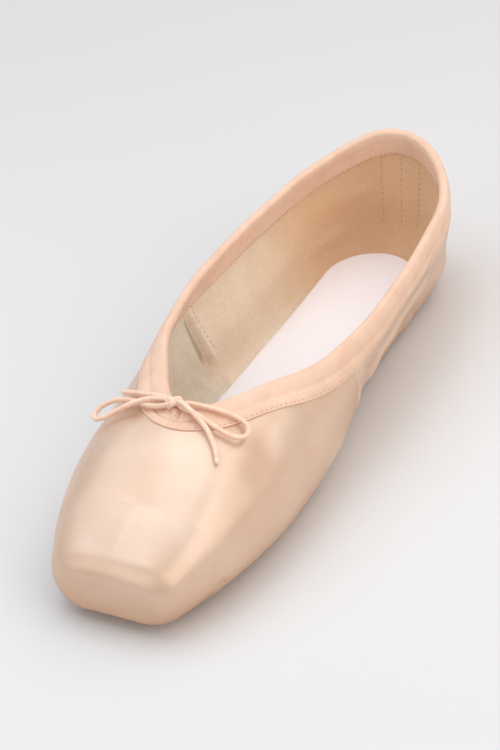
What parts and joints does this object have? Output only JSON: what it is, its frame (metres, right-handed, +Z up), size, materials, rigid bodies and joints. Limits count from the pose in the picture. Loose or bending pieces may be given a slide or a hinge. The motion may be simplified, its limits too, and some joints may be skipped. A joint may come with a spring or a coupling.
{
  "type": "demi-pointe shoe",
  "caption": "Low-cut satin ballet shoe with a light box, a flat toe platform, a taped collar tied by a drawstring bow, and a thin inset leather outsole.",
  "frame": {"origin": "centre of the shoe's footprint box, on the floor", "axes": "-Y towards the toe platform, +Y towards the heel, +X to the right seen from the heel, +Z up"},
  "size_m": [0.0774, 0.2412, 0.0532],
  "materials": {
    "satin": "peach satin over pasted canvas",
    "leather": "matt tan leather",
    "cover": "matt off-white insole cover",
    "tape": "matt cotton tape",
    "cord": "matt cotton cord"
  },
  "bodies": {
    "root": {"upper": "satin", "outsole": "leather", "insole": "cover", "binding": "tape", "drawstring_knot": "cord", "drawstring_loop_left": "cord", "drawstring_loop_right": "cord", "drawstring_end_left": "cord", "drawstring_end_right": "cord"}
  },
  "joints": []
}
